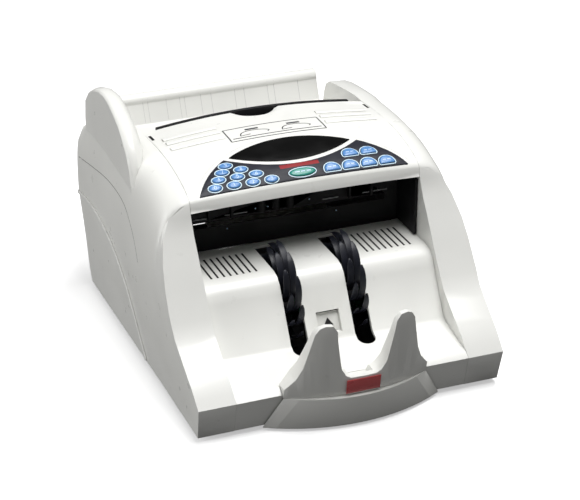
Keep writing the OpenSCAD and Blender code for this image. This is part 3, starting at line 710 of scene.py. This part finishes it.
def build_side_lines():
    """The arc and the seam on the outside of each side cover."""
    for side, name in ((-1, "left"), (1, "right")):
        cover = Surface(NODES["side_cover_" + name])
        for what, line, finish, half, height in SIDE_LINES:
            bm = bmesh.new()
            samples = [cover.beside(side, p[0], p[1]) for p in soften(line)]
            strip(bm, samples, half * MM, height * MM, 0.15 * MM)
            add_piece(f"side_{what}_{name}", bm, finish, "chassis")


# Upright lines scribed on the front of the back plate: heights on their way up, and the lines by their x
PLATE_HEIGHTS = (154, 158, 162, 166, 170, 173, 176, 178.5)
# A place in front of the plate, in metres along Y, from which it is looked up
PLATE_LOOK_Y = 0.1
PLATE_LINES = (-95.0, -76.0, -71.0, -52.0, -38.0, -33.0, -16.0, -5.0, 20.0, 30.0, 55.0, 62.0, 88.0)


def build_plate_lines():
    """The scribed lines of the back plate."""
    plate = Surface(NODES["back_plate"])
    bm = bmesh.new()
    for x in PLATE_LINES:
        samples = [plate.at((x * MM, PLATE_LOOK_Y, z * MM), (0, 1, 0)) for z in PLATE_HEIGHTS]
        strip(bm, samples, 0.2 * MM, 0.05 * MM, 0.1 * MM)
    add_piece("back_plate_lines", bm, "scribed", "chassis")


# Painted highlights on the edges of the dark wall over the pocket, and the wall's lamps, by place in the layout
WALL_BARS = ((-95.0, -81.0), (-64.0, -42.0), (32.0, 48.0), (72.0, 97.0))
WALL_LAMPS = ((-61.6, 124.5), (-34.0, 140.0), (-22.0, 140.0), (19.0, 140.6), (46.1, 124.5))
WALL_BAR_Z = (137.7, 138.7)
WALL_BAR_DEPTH = 1.2
WALL_LAMP_HALF = 0.7
WALL_LAMP_DEPTH = 0.8
WALL_Y = -9.0


def build_wall_details():
    """Grey bars that paint the highlights on the dark wall's edges, and the lamps on the wall."""
    bm = bmesh.new()
    for low, high in WALL_BARS:
        box(bm, (low, WALL_Y - WALL_BAR_DEPTH, WALL_BAR_Z[0]), (high, WALL_Y - 0.1, WALL_BAR_Z[1]))
    # Painted highlight: grey bars stand for the bright edges of the black wall
    add_piece("wall_edge_highlights", bm, "grey_plastic", "chassis", 0.2 * MM)
    bm = bmesh.new()
    half = WALL_LAMP_HALF
    for x, z in WALL_LAMPS:
        box(bm, (x - half, WALL_Y - WALL_LAMP_DEPTH, z - half), (x + half, WALL_Y - 0.05, z + half))
    add_piece("wall_lamps", bm, "legend", "chassis", 0.4 * MM)


# Painted shade in the vent slots on each side of the pocket, in the layout
VENT_FIRST = 54.0
VENT_PITCH = 6.1
VENT_COUNT = 8
VENT_ENDS = ((0.0, -66.0), (0.0, -26.0))
VENT_HALF = 0.95


def build_vents():
    """A band of painted shade in each vent slot, at the height of the plate looked up beside the slot."""
    plate = Surface(NODES["stacker_plate"])
    aside = VENT_PITCH / 2
    bm = bmesh.new()
    for side in (-1, 1):
        for k in range(VENT_COUNT):
            x = side * (VENT_FIRST + VENT_PITCH * k)
            samples = []
            for place in walk(VENT_ENDS, 5.0):
                point, normal = plate.above(x + aside, place[1])
                samples.append((point - Vector((aside * MM, 0.0, 0.0)), normal))
            strip(bm, samples, VENT_HALF * MM, 0.05 * MM, 0.8 * MM)
    # Painted shade: black bands make the slots darker and wider than their depth alone gives
    add_piece("pocket_vent_shade", bm, "black_plastic", "chassis")


finish_nodes()
build_keys()
build_blades()
build_hood_lines()
build_side_lines()
build_plate_lines()
build_wall_details()
build_vents()


# ---------------------------------------------------------------- stage, light, camera

# Light from all round that reaches the object, where 1 is white
SKY_FILL = 0.17
LIGHT_TARGET = (0.0, 0.0, 0.1)
# Name, place and size in metres, and power in watts
SOFTBOXES = (
    ("top_softbox", (0.25, -0.15, 1.6), (1.4, 0.6), 29.0),
    ("left_softbox", (-1.35, 0.12, 0.45), (0.9, 0.9), 8.5),
)
FLOOR_HALF = 6.0
CAMERA_AZIMUTH = -21.3406
CAMERA_ELEVATION = 26.4667
CAMERA_LENS = 122.04
CAMERA_SENSOR = 36.0
# Where the camera stands, in metres in the layout
CAMERA_PLACE = (-0.5961, -1.5350, 0.9069)


def area_light(name, place, target, size, power):
    data = bpy.data.lights.new(name, "AREA")
    data.shape = "RECTANGLE"
    data.size, data.size_y = size
    data.energy = power
    lamp = bpy.data.objects.new(name, data)
    lamp.location = place
    lamp.rotation_mode = "QUATERNION"
    lamp.rotation_quaternion = (Vector(target) - Vector(place)).to_track_quat("-Z", "Y")
    bpy.context.scene.collection.objects.link(lamp)


def build_stage():
    """Floor, surroundings and softboxes."""
    bm = bmesh.new()
    bmesh.ops.create_grid(bm, x_segments=2, y_segments=2, size=FLOOR_HALF)
    mesh = bpy.data.meshes.new("floor")
    bm.to_mesh(mesh)
    bm.free()
    mesh.materials.append(FINISHES["floor"])
    floor = bpy.data.objects.new("floor", mesh)
    bpy.context.scene.collection.objects.link(floor)

    world = bpy.data.worlds.new("studio")
    world.use_nodes = True
    nodes, links = world.node_tree.nodes, world.node_tree.links
    dim = nodes["Background"]
    dim.inputs["Color"].default_value = (1.0, 1.0, 1.0, 1.0)
    dim.inputs["Strength"].default_value = SKY_FILL
    seen = nodes.new("ShaderNodeBackground")
    seen.inputs["Color"].default_value = (1.0, 1.0, 1.0, 1.0)
    mix = nodes.new("ShaderNodeMixShader")
    links.new(nodes.new("ShaderNodeLightPath").outputs["Is Camera Ray"], mix.inputs[0])
    links.new(dim.outputs[0], mix.inputs[1])
    links.new(seen.outputs[0], mix.inputs[2])
    links.new(mix.outputs[0], nodes["World Output"].inputs["Surface"])
    bpy.context.scene.world = world
    for name, place, size, power in SOFTBOXES:
        area_light(name, place, LIGHT_TARGET, size, power)


def build_camera():
    azimuth = math.radians(CAMERA_AZIMUTH)
    elevation = math.radians(CAMERA_ELEVATION)
    back = Vector((math.sin(azimuth) * math.cos(elevation), -math.cos(azimuth) * math.cos(elevation),
                   math.sin(elevation)))
    data = bpy.data.cameras.new("camera")
    data.sensor_width = CAMERA_SENSOR
    data.lens = CAMERA_LENS
    camera = bpy.data.objects.new("camera", data)
    x, y, z = CAMERA_PLACE
    camera.location = (x, y - MIDDLE_Y * MM, z)
    camera.rotation_mode = "QUATERNION"
    camera.rotation_quaternion = (-back).to_track_quat("-Z", "Y")
    bpy.context.scene.collection.objects.link(camera)
    bpy.context.scene.camera = camera


build_stage()
build_camera()
bpy.context.scene.view_settings.view_transform = "Standard"
